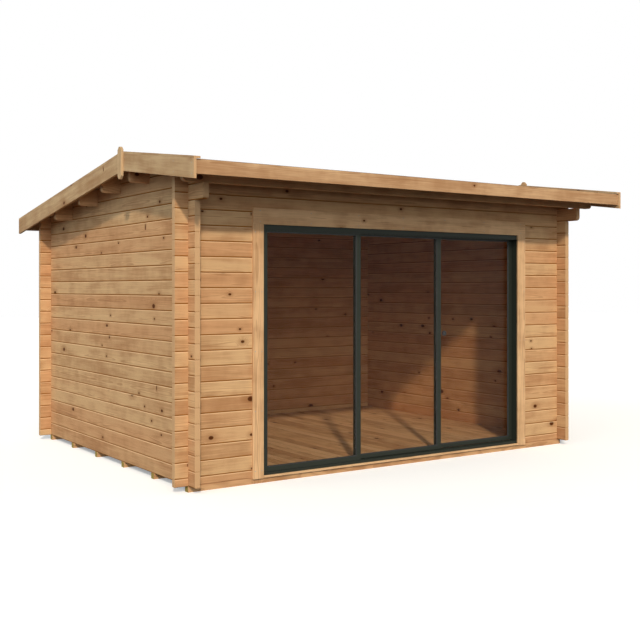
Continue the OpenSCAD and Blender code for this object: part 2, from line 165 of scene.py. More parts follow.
def new_group(name, inputs, outputs):
    """A shader node group with named sockets: the tree, its input node and its output node."""
    tree = bpy.data.node_groups.new(name, "ShaderNodeTree")
    for label, kind, value in inputs:
        socket = tree.interface.new_socket(label, in_out="INPUT", socket_type="NodeSocket" + kind)
        if value is not None:
            socket.default_value = value
    for label, kind in outputs:
        tree.interface.new_socket(label, in_out="OUTPUT", socket_type="NodeSocket" + kind)
    return tree, tree.nodes.new("NodeGroupInput"), tree.nodes.new("NodeGroupOutput")


def rgb(red, green, blue):
    """A colour as people write it, 0 to 255, turned into the light it reflects."""
    def light(value):
        c = value / 255
        return c / 12.92 if c <= 0.04045 else ((c + 0.055) / 1.055) ** 2.4
    return light(red), light(green), light(blue), 1.0


print("node helpers ready")

# %% [markdown]
# ## Knots
#
# A knot is a branch that the saw cut through. One could scatter dark dots by hand, but a house has
# thousands of them. A cell texture scatters them instead: each cell of a loose grid holds at most one
# branch, with its own size, and a chance decides whether it is there. Most branches were cut across
# and show as ovals. A few were cut lengthwise and show as thin spikes across the board.

# %% The knot group
ROW_OF_KNOTS = 0.075


def build_knot_group():
    tree, put, out = new_group("knots", [
        ("Along", "Float", 0.0), ("Across", "Float", 0.0), ("Board name", "Float", 0.0),
        ("Gap", "Float", 0.42), ("Share", "Float", 0.4), ("Radius", "Float", 0.015),
    ], [("Knot", "Float"), ("Heart", "Float"), ("Swell", "Float"), ("Radius", "Float")])
    see = put.outputs
    step = calc(tree, "DIVIDE", see["Along"], see["Gap"])
    row = calc(tree, "DIVIDE", see["Across"], ROW_OF_KNOTS)
    spot = add(tree, "CombineXYZ", {"X": calc(tree, "ADD", step, times(tree, see["Board name"], 3.7)),
                                    "Y": calc(tree, "ADD", row, times(tree, see["Board name"], 5.3))})
    cells = add(tree, "TexVoronoi", {"Vector": spot.outputs[0], "Scale": 1.0, "Randomness": 0.9},
                voronoi_dimensions="2D")
    dice = add(tree, "SeparateColor", {"Color": cells.outputs["Color"]}).outputs
    away = vector_calc(tree, "SUBTRACT", spot.outputs[0], cells.outputs["Position"])
    away = add(tree, "SeparateXYZ", {"Vector": away}).outputs
    spike = calc(tree, "GREATER_THAN", dice[2], 0.95)
    far_along = times(tree, away[0], see["Gap"], calc(tree, "MULTIPLY_ADD", spike, 1.0, 0.68))
    far_across = times(tree, away[1], ROW_OF_KNOTS, calc(tree, "MULTIPLY_ADD", spike, -0.5, 1.0))
    reach = calc(tree, "SQRT", calc(tree, "ADD", times(tree, far_along, far_along),
                                    times(tree, far_across, far_across)))
    size = calc(tree, "MULTIPLY_ADD", times(tree, dice[0], dice[0]), 0.9, 0.45)
    radius = times(tree, see["Radius"], size)
    there = calc(tree, "LESS_THAN", dice[1], see["Share"])
    ratio = calc(tree, "DIVIDE", reach, radius)
    for label, far, near in (("Knot", 1.15, 0.8), ("Heart", 0.8, 0.35), ("Swell", 4.0, 0.6)):
        plug(tree, out.inputs[label], times(tree, ramp(tree, ratio, far, near), there))
    plug(tree, out.inputs["Radius"], radius)
    return tree


knot_group = build_knot_group()
print("knot group:", len(knot_group.nodes), "nodes")

# %% [markdown]
# ## Spruce, sawn from a real log
#
# A board is a slice of a tree, so its figure is no pattern on its face. It is the distance to the
# pith, seen where the saw went through. A stretched noise would give streaks, but it falls apart at
# the ends. Here the yearly rings are tubes round a pith line that lies somewhere beside each board:
# a face cut near it shows flames, a face far off shows straight lines, and an end shows arcs. The
# rings swerve round the knots. Every board gets a number from its place in the wall, and from that
# number a pith and a tone of its own. Where two boards meet, the shade of the groove is painted in:
# a narrow band of painted shade along each edge, widest along the lower one, and a painted
# highlight on the bevel under the upper edge.

# %% The timber group
def build_timber_group():
    tree, put, out = new_group("sawn timber", [
        ("Place", "Vector", None),          # along, across and into the board, in metres
        ("First edge", "Float", 0.0),       # where the first board starts, across
        ("Board width", "Float", 0.114),
        ("Face", "Float", 0.0),             # where the boards' middle lies, in depth
        ("Seed", "Float", 0.0),
        ("Pale", "Color", (0.6, 0.4, 0.2, 1)),
        ("Warm", "Color", (0.5, 0.3, 0.1, 1)),
        ("Late wood", "Color", (0.4, 0.2, 0.1, 1)),
        ("Knot", "Color", (0.1, 0.05, 0.02, 1)),
        ("End colour", "Color", (0.6, 0.4, 0.2, 1)),
        ("In groove", "Color", (0.1, 0.02, 0.01, 1)),
        ("Painted highlight colour", "Color", (0.8, 0.6, 0.3, 1)),
        ("Knot share", "Float", 0.17),
        ("Knot radius", "Float", 0.017),
        ("Ring gap", "Float", 0.0035),
        ("Tone spread", "Float", 0.32),
        ("Groove", "Float", 0.011),         # height of the painted shade along a board's lower edge
        ("Upper groove", "Float", 0.1),     # the same along the upper edge, as a share of it
        # strength of the painted groove shade and of the painted bevel highlight; 0 turns both off
        ("Groove shade", "Float", 0.92),
        ("Lit bevel", "Float", 0.5),        # how much the painted highlight lightens the bevel under the upper edge
        ("End grain", "Float", 0.0),
    ], [("Colour", "Color"), ("Roughness", "Float"), ("Height", "Float")])
    see = put.outputs
    along, across, depth = add(tree, "SeparateXYZ", {"Vector": see["Place"]}).outputs
    course = calc(tree, "DIVIDE", calc(tree, "SUBTRACT", across, see["First edge"]), see["Board width"])
    number = calc(tree, "FLOOR", course)
    within = calc(tree, "SUBTRACT", calc(tree, "SUBTRACT", course, number), 0.5)
    across = times(tree, within, see["Board width"])
    depth = calc(tree, "SUBTRACT", depth, see["Face"])
    name = calc(tree, "ADD", number, times(tree, see["Seed"], 37.0))
    chance = add(tree, "TexWhiteNoise", {"W": name}, noise_dimensions="1D").outputs["Color"]
    dice = add(tree, "SeparateColor", {"Color": chance}).outputs
    branch = add(tree, "Group", node_tree=knot_group)
    for label, value in (("Along", along), ("Across", across), ("Board name", name),
                         ("Share", see["Knot share"]), ("Radius", see["Knot radius"])):
        plug(tree, branch.inputs[label], value)
    knot, heart, swell, radius = branch.outputs

    # rings: distance to a wandering pith
    shifted = vector_calc(tree, "ADD", vector_calc(tree, "MULTIPLY", see["Place"], (1.1, 3.0, 3.0)),
                          vector_calc(tree, "MULTIPLY", chance, (40.0, 40.0, 40.0)))
    wander = calc(tree, "MULTIPLY_ADD", noise(tree, shifted, 1.0, 3.0), 0.06, -0.03)
    pith_across = calc(tree, "MULTIPLY_ADD", dice[0], 0.12, -0.06)
    pith_depth = calc(tree, "MULTIPLY_ADD", dice[1], 0.10, 0.02)
    a = calc(tree, "ADD", calc(tree, "SUBTRACT", across, pith_across), wander)
    d = calc(tree, "ADD", depth, pith_depth)
    from_pith = calc(tree, "SQRT", calc(tree, "ADD", times(tree, a, a), times(tree, d, d)))
    from_pith = calc(tree, "ADD", from_pith, times(tree, wander, 0.35))
    from_pith = calc(tree, "ADD", from_pith, times(tree, swell, radius, 1.2))
    season = calc(tree, "FRACT", calc(tree, "DIVIDE", from_pith, see["Ring gap"]))
    late = times(tree, ramp(tree, season, 0.45, 0.9), ramp(tree, season, 1.0, 0.93))

    # slow drift of tone along the grain, streaks, patches across it, and the fine fibre
    spread = vector_calc(tree, "MULTIPLY", chance, (60.0, 60.0, 60.0))
    drift = noise(tree, vector_calc(tree, "ADD", spread,
                                    vector_calc(tree, "MULTIPLY", see["Place"], (1.5, 12.0, 12.0))),
                  1.0, 3.0, 0.6)
    streak = noise(tree, vector_calc(tree, "ADD", spread,
                                     vector_calc(tree, "MULTIPLY", see["Place"], (3.0, 75.0, 75.0))),
                   1.0, 3.0, 0.6)
    fibre = noise(tree, vector_calc(tree, "MULTIPLY", see["Place"], (7.0, 330.0, 330.0)), 1.0, 2.0)

    mottle = noise(tree, vector_calc(tree, "ADD", spread,
                                     vector_calc(tree, "MULTIPLY", see["Place"], (5.5, 4.0, 4.0))),
                   1.0, 3.0, 0.55)
    hue = calc(tree, "ADD", calc(tree, "SUBTRACT", dice[2], 0.5),
               calc(tree, "MULTIPLY_ADD", drift, 1.4, -0.7))
    wood = blend(tree, ramp(tree, hue, -0.6, 0.6), see["Pale"], see["Warm"])
    tone = times(tree, calc(tree, "SUBTRACT", dice[0], 0.5), see["Tone spread"])
    for layer, weight in ((drift, 1.1), (streak, 0.8), (mottle, 1.1)):  # weights keep the mean at 0
        tone = calc(tree, "ADD", tone, calc(tree, "MULTIPLY_ADD", layer, weight, -weight / 2))
    wood = blend(tree, ramp(tree, tone, -0.3, 0.5, 0.0, 0.5), wood, see["Late wood"])
    wood = blend(tree, times(tree, late, 0.34), wood, see["Late wood"])
    wood = blend(tree, calc(tree, "MULTIPLY_ADD", fibre, 0.35, -0.1), wood, see["Late wood"])
    wood = blend(tree, times(tree, swell, 0.42), wood, see["Late wood"])
    wood = blend(tree, times(tree, see["End grain"], 0.88), wood, see["End colour"])
    # on end grain the painted groove shade and the painted highlight are weaker
    side_grain = calc(tree, "SUBTRACT", 1.0, see["End grain"])
    shade = times(tree, see["Groove shade"], calc(tree, "MULTIPLY_ADD", side_grain, 0.8, 0.2))
    wood = blend(tree, times(tree, knot, side_grain, 0.9), wood, see["Knot"])
    wood = blend(tree, times(tree, heart, side_grain, 0.6), wood, see["Knot"])
    half = times(tree, see["Board width"], 0.5)
    to_lower = calc(tree, "ADD", half, across)
    to_upper = calc(tree, "SUBTRACT", half, across)
    upper = times(tree, see["Groove"], see["Upper groove"])
    # painted highlight on the bevel under the upper edge, which faces up into the light
    near_edge = ramp(tree, to_upper, times(tree, see["Groove"], 0.8), times(tree, see["Groove"], 0.5))
    bevel = times(tree, near_edge, see["Lit bevel"], shade)
    wood = blend(tree, bevel, wood, see["Painted highlight colour"])
    # painted shade in the groove along the lower edge, and more thinly along the upper edge
    groove = calc(tree, "MAXIMUM", ramp(tree, to_lower, see["Groove"], times(tree, see["Groove"], 0.5)),
                  ramp(tree, to_upper, upper, times(tree, upper, 0.5)))
    wood = blend(tree, times(tree, groove, shade), wood, see["In groove"])
    plug(tree, out.inputs["Colour"], wood)
    plug(tree, out.inputs["Roughness"], calc(tree, "MULTIPLY_ADD", fibre, 0.2, 0.56))
    relief = calc(tree, "ADD", times(tree, late, 0.5), times(tree, fibre, 0.6))
    plug(tree, out.inputs["Height"], calc(tree, "ADD", relief, times(tree, knot, 0.8)))
    return tree


timber_group = build_timber_group()
print("timber group:", len(timber_group.nodes), "nodes")

# %% [markdown]
# ## One recipe for all boards
#
# Logs, casings, floor boards and bargeboards are one timber in different directions. Each material
# says which axis the grain follows, which way the boards lie side by side, and where the first edge
# is. The end grain is found from the surface's own direction: where it faces along the grain, the
# saw went across the tree. On the sloping boards of the roof, the place and the direction are turned
# by the roof's pitch first, so that the grain follows the board and not the horizon.

# %% Timber materials
HONEY = rgb(219, 176, 127)
ROSE = rgb(212, 159, 112)
LATE = rgb(140, 88, 48)
KNOT = rgb(76, 32, 4)
# colours of the painted shade in the grooves between boards and of the painted highlight on the bevels
PAINTED_GROOVE_SHADE = rgb(152, 95, 34)
PAINTED_BEVEL_HIGHLIGHT = rgb(238, 199, 152)
SAWN_END = rgb(206, 161, 116)
CLEAR_BOARD = {"Pale": rgb(235, 190, 141), "Warm": rgb(214, 166, 118), "Knot share": 0.08}
WEATHERED = {"Pale": rgb(216, 182, 138), "Warm": rgb(184, 149, 107), "Knot share": 0.2}
FLOOR_TIMBER = {"Pale": rgb(240, 206, 162), "Warm": rgb(230, 190, 144), "Tone spread": 0.7}
EAVE_BOARD = {"Pale": rgb(232, 192, 146), "Warm": rgb(206, 163, 120), "Knot share": 0.1}
# flat boards: a thin band of painted shade along both edges of each board, and no painted highlight
FLAT_GROOVE = {"Groove": 0.0025, "Upper groove": 1.0, "Lit bevel": 0.0, "In groove": rgb(84, 42, 11)}
END_FACE = 0.8


def new_material(name):
    material = bpy.data.materials.new(name)
    material.use_nodes = True
    tree = material.node_tree
    shader = tree.nodes["Principled BSDF"]
    return material, tree, shader


def bump(tree, shader, height, strength, depth):
    """Let a height push the surface in and out by up to depth metres."""
    node = add(tree, "Bump", {"Height": height, "Strength": strength, "Distance": depth})
    tree.links.new(node.outputs["Normal"], shader.inputs["Normal"])


def timber(name, axes, first_edge, board_width, face, seed, tilt=0.0, looks=()):
    """axes: grain axis, axis across the boards and axis into them, such as "XZY"."""
    material, tree, shader = new_material(name)
    place = add(tree, "TexCoord")
    vector = place.outputs["Object"]
    normal = place.outputs["Normal"]
    if tilt:
        turned = []
        for source in (vector, normal):
            node = add(tree, "VectorRotate", {"Vector": source, "Angle": tilt}, rotation_type="X_AXIS")
            turned.append(node.outputs[0])
        vector, normal = turned
    split = add(tree, "SeparateXYZ", {"Vector": vector}).outputs
    facing = add(tree, "SeparateXYZ", {"Vector": normal}).outputs
    order = add(tree, "CombineXYZ", {"X": split[axes[0]], "Y": split[axes[1]], "Z": split[axes[2]]})
    end = calc(tree, "GREATER_THAN", calc(tree, "ABSOLUTE", facing[axes[0]]), END_FACE)
    values = {"Place": order.outputs[0], "First edge": first_edge, "Board width": board_width,
              "Face": face, "Seed": seed, "Pale": HONEY, "Warm": ROSE, "Late wood": LATE,
              "Knot": KNOT, "End colour": SAWN_END, "End grain": end,
              "In groove": PAINTED_GROOVE_SHADE, "Painted highlight colour": PAINTED_BEVEL_HIGHLIGHT}
    values.update(looks)
    grain = add(tree, "Group", node_tree=timber_group)
    for label, value in values.items():
        plug(tree, grain.inputs[label], value)
    plug(tree, shader.inputs["Base Color"], grain.outputs["Colour"])
    plug(tree, shader.inputs["Roughness"], grain.outputs["Roughness"])
    shader.inputs["Specular IOR Level"].default_value = 0.06
    bump(tree, shader, grain.outputs["Height"], 0.5, 0.0006)
    return material


def dress(name, material):
    """Give a piece of the frame its material."""
    slots = nodes[name].data.materials
    slots.clear()
    slots.append(material)


print("board recipe ready")

# %% [markdown]
# ## The walls
#
# The walls are dressed by course. A side wall starts on the base, and the front and back walls start
# half a course lower, because the logs cross at the corners with half their height. All pieces of one
# wall share one material, so a log keeps its figure from the left of the door to the right of it.

# %% Logs of the four walls and the gables
seed = 0
for side in ("left", "right"):
    seed += 1
    logs = timber(side + " wall logs", "YZX", base_z, log_height, middle(side + "_wall", X), seed)
    for piece in ("_wall", "_eave_log", "_gable"):
        dress(side + piece, logs)
FRONT_PIECES = ("front_wall_left", "front_wall_right", "front_wall_over_door")
for wall, pieces in (("front", FRONT_PIECES), ("back", ("back_wall",))):
    seed += 1
    logs = timber(wall + " wall logs", "XZY", base_z - log_height / 2, log_height,
                  middle(pieces[0], Y), seed)
    for piece in pieces:
        dress(piece, logs)
print("walls dressed with", seed, "materials")

# %% [markdown]
# ## Single boards
#
# Purlins, eave boards, bargeboards, casings and joists are one board each. A board needs no joints
# drawn on it, so its width is set to the piece's own and the painted groove shade and bevel highlight
# are turned off. The joists are pressure treated: the salts turn the sawn ends olive, and less so the
# planed faces.

# %% Purlins, casings, roof edges and joists
TURNED_SPAN = (-9.0, 11.0)    # wide enough for a board whose place was turned by the pitch
EDGE_MARGIN = 0.001


def one_board(name, axes, looks=(), tilt=0.0):
    """Timber for a piece that is a single board."""
    global seed
    seed += 1
    low, high = span(name, "XYZ".index(axes[1]))
    if tilt:
        low, high = TURNED_SPAN
    material = timber(name.replace("_", " "), axes, low - EDGE_MARGIN, high - low + 2 * EDGE_MARGIN,
                      middle(name, "XYZ".index(axes[2])), seed, tilt,
                      {"Groove shade": 0.0, **dict(looks)})
    dress(name, material)


for name in ("eave_purlin", "ridge_purlin", "back_purlins"):
    one_board(name, "XZY")
for name in ("front_fascia", "back_fascia"):
    one_board(name, "XZY", EAVE_BOARD)
for side in ("left", "right"):
    one_board(side + "_front_bargeboard", "YZX", WEATHERED, -roof_pitch)
    one_board(side + "_back_bargeboard", "YZX", WEATHERED, roof_pitch)
    one_board(side + "_edge_strips", "YXZ", WEATHERED)
    one_board(side + "_finial", "ZYX", WEATHERED)
    one_board("door_casing_" + side, "ZXY", CLEAR_BOARD)
one_board("door_casing_top", "XZY", CLEAR_BOARD)
one_board("inner_casing", "ZXY", CLEAR_BOARD)
one_board("threshold", "XYZ", CLEAR_BOARD)
TREATED_END = rgb(150, 130, 62)
one_board("foundation_joists", "XYZ", {"End colour": TREATED_END})
print("single boards dressed, materials so far:", seed)

# %% [markdown]
# ## Building with profiles
#
# Every thin thing on this house is a profile carried along a path: a floor board is its section
# carried along the room, a seal is its section carried round the pane, a sheet of felt is its edge
# carried across the roof. So one function joins a row of outlines into a closed shape, and the pieces
# only have to say where their outlines stand. Modifiers could do it too, but plain rings of points
# stay exact, and they are easy to follow.


def join_outlines(shape, outlines, closed=False):
    """Skin a row of outlines with equal numbers of points; a closed row meets itself again."""
    rings = [[shape.verts.new(point) for point in outline] for outline in outlines]
    pairs = list(zip(rings, rings[1:]))
    if closed:
        pairs.append((rings[-1], rings[0]))
    for near, far in pairs:
        for i in range(len(near)):
            j = (i + 1) % len(near)
            shape.faces.new((near[i], near[j], far[j], far[i]))
    if not closed:
        shape.faces.new(rings[0][::-1])
        shape.faces.new(rings[-1])


def new_piece(name, shape, material, body="house", replaces=()):
    """Turn a shape into a piece of the house that rides on a body."""
    bmesh.ops.recalc_face_normals(shape, faces=shape.faces)
    mesh = bpy.data.meshes.new(name)
    shape.to_mesh(mesh)
    shape.free()
    mesh.materials.append(material)
    piece = bpy.data.objects.new(name, mesh)
    scene.collection.objects.link(piece)
    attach(piece, body)
    if replaces:
        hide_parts(*replaces)
    triangles = sum(len(face.vertices) - 2 for face in mesh.polygons)
    print(name, "triangles:", triangles)
    return piece


print("mesh helpers ready")

# %% [markdown]
# ## The floor
#
# The floor is tongue and groove boards, laid from front to back and nailed down to the joists. A slab
# with lines drawn on it would do from far off, but low light catches the bevels, so the boards are
# real ones with a bevel on both upper edges. The layout starts at the door opening, which keeps a
# whole board on each side of the notch, and the boards at the walls are ripped to what is left. The
# boards in the opening begin behind the threshold.

# %% Floor boards
FLOOR_BOARD = 0.095
FLOOR_BEVEL = 0.0022
BOARD_PLAY = 0.0003

floor_low, floor_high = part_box("floor")
opening_left = span("front_wall_left", X)[1]
opening_right = span("front_wall_right", X)[0]
opening_boards = round((opening_right - opening_left) / FLOOR_BOARD)
floor_width = (opening_right - opening_left) / opening_boards
threshold_back = span("threshold", Y)[1] + BOARD_PLAY


def floor_section(left, right, y):
    top, bottom = floor_high.z, floor_low.z
    outline = ((left, bottom), (right, bottom), (right, top - FLOOR_BEVEL), (right - FLOOR_BEVEL, top),
               (left + FLOOR_BEVEL, top), (left, top - FLOOR_BEVEL))
    return [Vector((x, y, z)) for x, z in outline]


shape = bmesh.new()
first = -math.ceil((opening_left - floor_low.x) / floor_width)
last = opening_boards + math.ceil((floor_high.x - opening_right) / floor_width)
for k in range(first, last):
    left = max(opening_left + k * floor_width + BOARD_PLAY / 2, floor_low.x)
    right = min(opening_left + (k + 1) * floor_width - BOARD_PLAY / 2, floor_high.x)
    front = threshold_back if 0 <= k < opening_boards else floor_low.y
    join_outlines(shape, [floor_section(left, right, front), floor_section(left, right, floor_high.y)])
seed += 1
floor_timber = timber("floor boards", "YXZ", opening_left, floor_width, middle("floor", Z), seed,
                      looks={**FLOOR_TIMBER, **FLAT_GROOVE})
new_piece("floor_boards", shape, floor_timber, replaces=("floor",))

# %% [markdown]
# ## The roof boards
#
# Seen from under the eaves, the roof is a row of boards that run down the slope, with a V groove
# where two of them meet. They carry the felt, and their undersides stay bare. Each board is a section
# with two bevelled lower edges, carried from the eave up to the ridge.

# %% Roof boards of both slopes
ROOF_BOARD = 0.095
ROOF_BEVEL = 0.004
roof_left, roof_right = span("roof_deck_front", X)
roof_boards = round((roof_right - roof_left) / ROOF_BOARD)
roof_width = (roof_right - roof_left) / roof_boards


def roof_top(y):
    """Height of the boards' upper face at a distance along the house."""
    return ridge_z - abs(y - ridge_y) * roof_slope


deck_low, deck_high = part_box("roof_deck_back")
deck_thick = roof_top(deck_high.y) - deck_low.z


def roof_section(left, right, y):
    top = roof_top(y)
    bottom = top - deck_thick
    outline = ((left + ROOF_BEVEL, bottom), (right - ROOF_BEVEL, bottom), (right, bottom + ROOF_BEVEL),
               (right, top), (left, top), (left, bottom + ROOF_BEVEL))
    return [Vector((x, y, z)) for x, z in outline]


for slope, tilt in (("front", -roof_pitch), ("back", roof_pitch)):
    node = "roof_deck_" + slope
    near, far = span(node, Y)
    shape = bmesh.new()
    for k in range(roof_boards):
        left = roof_left + k * roof_width + BOARD_PLAY / 2
        right = left + roof_width - BOARD_PLAY
        join_outlines(shape, [roof_section(left, right, near), roof_section(left, right, far)])
    seed += 1
    deck_timber = timber("roof boards " + slope, "YXZ", roof_left, roof_width, middle(node, Z), seed,
                         tilt, {"Tone spread": 0.6, **FLAT_GROOVE})
    new_piece("roof_boards_" + slope, shape, deck_timber, replaces=(node,))

# %% [markdown]
# ## The felt
#
# Roofing felt comes as a roll about a metre wide. The first sheet goes along the eave, each next one
# laps over it by a hand's width so that water runs off, and a narrow sheet folds over the ridge. One
# smooth skin would hide all of that. Here each sheet is a thin strip that climbs onto the one below
# it, and its lower edge wavers by a few millimetres, as a hand-cut edge does. The colour comes from
# stone grit pressed into the bitumen, with a few places where the grit has worn thin.

# %% Sheets of felt
SHEET = 1.0
LAP = 0.1
FELT = 0.0015
CLIMB = 0.03
CAP_HALF = 0.17
RIDGE_GAP = 0.0002
EDGE_WAVER = 0.003
STATION = 0.16

felt_y = span("roof_felt", Y)
felt_x = span("roof_felt", X)
bed = span("roof_felt", Z)[1] - ridge_z - 2 * FELT - 0.0001
draw = random.Random(7)


def felt_line(upper, lower, laps):
    """Points (distance down the slope, height over the boards) of one sheet's underside."""
    if not laps:
        return [(upper, bed), (lower, bed)]
    climb = [(lower - LAP - CLIMB, bed), (lower - LAP, bed + FELT)]
    return [(upper, bed)] + climb + [(lower, bed + FELT)]


def lay_sheet(shape, direction, upper, lower, laps):
    """One sheet on a slope; direction is -1 to the front and 1 to the back."""
    stations = round((felt_x[1] - felt_x[0]) / STATION)
    outlines = []
    for i in range(stations + 1):
        x = felt_x[0] + (felt_x[1] - felt_x[0]) * i / stations
        waver = draw.uniform(-EDGE_WAVER, 0) if laps else 0.0
        line = felt_line(upper, lower, laps)
        line[-1] = (line[-1][0] + waver, line[-1][1])
        under = [Vector((x, ridge_y + direction * s, ridge_z - s * roof_slope + h)) for s, h in line]
        over = [point + Vector((0, 0, FELT)) for point in under[::-1]]
        outlines.append(under + over)
    join_outlines(shape, outlines)


shape = bmesh.new()
lap_edges = []
for direction, eave in ((-1, ridge_y - felt_y[0]), (1, felt_y[1] - ridge_y)):
    lower = eave
    laps = False
    while lower > 0:
        upper = max(lower - SHEET * math.cos(roof_pitch), 0.0)
        if upper < CAP_HALF:
            upper = RIDGE_GAP
        lay_sheet(shape, direction, upper, lower, laps)
        if laps:
            lap_edges.append((direction, lower))
        laps = True
        lower = upper + LAP if upper > CAP_HALF else 0
cap_outlines = []
stations = round((felt_x[1] - felt_x[0]) / STATION)
for i in range(stations + 1):
    x = felt_x[0] + (felt_x[1] - felt_x[0]) * i / stations
    reach = [-CAP_HALF + draw.uniform(0, EDGE_WAVER), 0.0, CAP_HALF - draw.uniform(0, EDGE_WAVER)]
    under = [Vector((x, ridge_y + s, ridge_z - abs(s) * roof_slope + bed + FELT)) for s in reach]
    cap_outlines.append(under + [point + Vector((0, 0, FELT)) for point in under[::-1]])
join_outlines(shape, cap_outlines)
lap_edges += [(-1, CAP_HALF), (1, CAP_HALF)]


def grit_felt():
    material, tree, shader = new_material("mineral felt")
    place = add(tree, "TexCoord").outputs["Object"]
    grains = add(tree, "TexVoronoi", {"Vector": place, "Scale": 420.0}, feature="F1")
    speck = add(tree, "SeparateColor", {"Color": grains.outputs["Color"]}).outputs
    cloud = noise(tree, place, 2.2, 4.0, 0.6)
    streak = noise(tree, vector_calc(tree, "MULTIPLY", place, (9.0, 0.8, 0.8)), 1.0, 3.0)
    colour = blend(tree, ramp(tree, speck[0], 0.2, 0.9), rgb(40, 45, 44), rgb(92, 98, 93))
    colour = blend(tree, ramp(tree, cloud, 0.35, 0.75, 0.0, 0.45), colour, rgb(58, 60, 56))
    colour = blend(tree, ramp(tree, streak, 0.5, 0.8, 0.0, 0.3), colour, rgb(34, 37, 37))
    plug(tree, shader.inputs["Base Color"], colour)
    plug(tree, shader.inputs["Roughness"], ramp(tree, speck[1], 0.0, 1.0, 0.75, 0.98))
    height = calc(tree, "SUBTRACT", 1.0, times(tree, grains.outputs["Distance"], 300.0))
    bump(tree, shader, height, 0.7, 0.0008)
    return material


new_piece("felt_sheets", shape, grit_felt(), replaces=("roof_felt",))
print("laps in the felt:", len(lap_edges))

# %% [markdown]
# ## Nails and screws
#
# Heads are small, but a roof without its clout nails looks unfinished from above, and a casing
# without screws looks glued. Each head is a low dome: two rings of points and a flat top. They are
# gathered into a few pieces, one for each trade: the roofer's nails along the laps, and the joiner's
# screws in the casings and the bargeboards, and the nails that hold the floor boards.

# %% Fixing heads
def add_head(shape, centre, normal, radius, rise, sides=8):
    """A domed head whose base lies on a surface."""
    side = normal.orthogonal().normalized()
    other = normal.cross(side)
    outlines = []
    for size, lift in ((1.0, -0.2), (1.0, 0.4), (0.7, 1.0)):
        ring = []
        for i in range(sides):
            turn = 2 * math.pi * i / sides
            ring.append(centre + side * (math.cos(turn) * radius * size)
                        + other * (math.sin(turn) * radius * size) + normal * (rise * lift))
        outlines.append(ring)
    join_outlines(shape, outlines)


def zinc(name, base):
    material, tree, shader = new_material(name)
    place = add(tree, "TexCoord").outputs["Object"]
    spangle = noise(tree, place, 260.0, 3.0)
    plug(tree, shader.inputs["Base Color"], blend(tree, spangle, base, rgb(196, 196, 192)))
    plug(tree, shader.inputs["Roughness"], ramp(tree, spangle, 0.2, 0.8, 0.32, 0.6))
    shader.inputs["Metallic"].default_value = 1.0
    return material


bright_zinc = zinc("galvanised steel", rgb(128, 130, 130))
CLOUT_GAP = 0.1
CLOUT_INSET = 0.02
CLOUT = 0.005
CLOUT_RISE = 0.0008
BY_HAND = 0.006    # how far a nail strays from its mark
shape = bmesh.new()
clouts = math.floor((felt_x[1] - felt_x[0]) / CLOUT_GAP)
for direction, lower in lap_edges:
    down = lower - CLOUT_INSET
    normal = Vector((0, direction * math.sin(roof_pitch), math.cos(roof_pitch)))
    for k in range(clouts):
        x = felt_x[0] + (k + 0.5) * (felt_x[1] - felt_x[0]) / clouts + draw.uniform(-BY_HAND, BY_HAND)
        point = Vector((x, ridge_y + direction * down, ridge_z - down * roof_slope + bed + 2 * FELT))
        add_head(shape, point, normal, CLOUT, CLOUT_RISE)
new_piece("felt_nails", shape, bright_zinc)

# %% Screws in the casings
SCREW = 0.0035
SCREW_RISE = 0.0004
END_ROOM = 0.06
SIDE_ROOM = 0.018
TOP_ROOM = 0.02
ROWS = 5
TOP_ROWS = 7
shape = bmesh.new()
outward = Vector((0, -1, 0))
casing_face = span("door_casing_left", Y)[0]
for side in ("left", "right"):
    low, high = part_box("door_casing_" + side)
    for k in range(ROWS):
        z = low.z + END_ROOM + (high.z - low.z - 2 * END_ROOM) * k / (ROWS - 1)
        for x in (low.x + SIDE_ROOM, high.x - SIDE_ROOM):
            add_head(shape, Vector((x, casing_face, z)), outward, SCREW, SCREW_RISE)
low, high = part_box("door_casing_top")
for k in range(TOP_ROWS):
    x = low.x + END_ROOM + (high.x - low.x - 2 * END_ROOM) * k / (TOP_ROWS - 1)
    for z in (low.z + TOP_ROOM, high.z - TOP_ROOM):
        add_head(shape, Vector((x, casing_face, z)), outward, SCREW, SCREW_RISE)
new_piece("casing_screws", shape, bright_zinc)

# %% Screws in the bargeboards
BOARD_EDGE_ROOM = 0.03
RIDGE_ROOM = 0.06
FASCIA_ROOM = 0.02
shape = bmesh.new()
board_height = long_rise - long_run * roof_slope
purlin_low, purlin_high = span("back_purlins", Y)
half = (span("eave_purlin", Y)[1] - span("eave_purlin", Y)[0]) / 2
purlins = [middle("eave_purlin", Y), purlin_low + half, (purlin_low + purlin_high) / 2,
           purlin_high - half, span("front_fascia", Y)[0] + FASCIA_ROOM,
           span("back_fascia", Y)[1] - FASCIA_ROOM, ridge_y - RIDGE_ROOM, ridge_y + RIDGE_ROOM]
for side, sign in (("left", -1), ("right", 1)):
    face_x = span(side + "_back_bargeboard", X)[0 if sign < 0 else 1]
    top = span(side + "_back_bargeboard", Z)[1]
    for y in purlins:
        for down in (BOARD_EDGE_ROOM, board_height - BOARD_EDGE_ROOM):
            z = top - abs(y - ridge_y) * roof_slope - down
            add_head(shape, Vector((face_x, y, z)), Vector((sign, 0, 0)), SCREW, SCREW_RISE)
new_piece("bargeboard_screws", shape, bright_zinc)

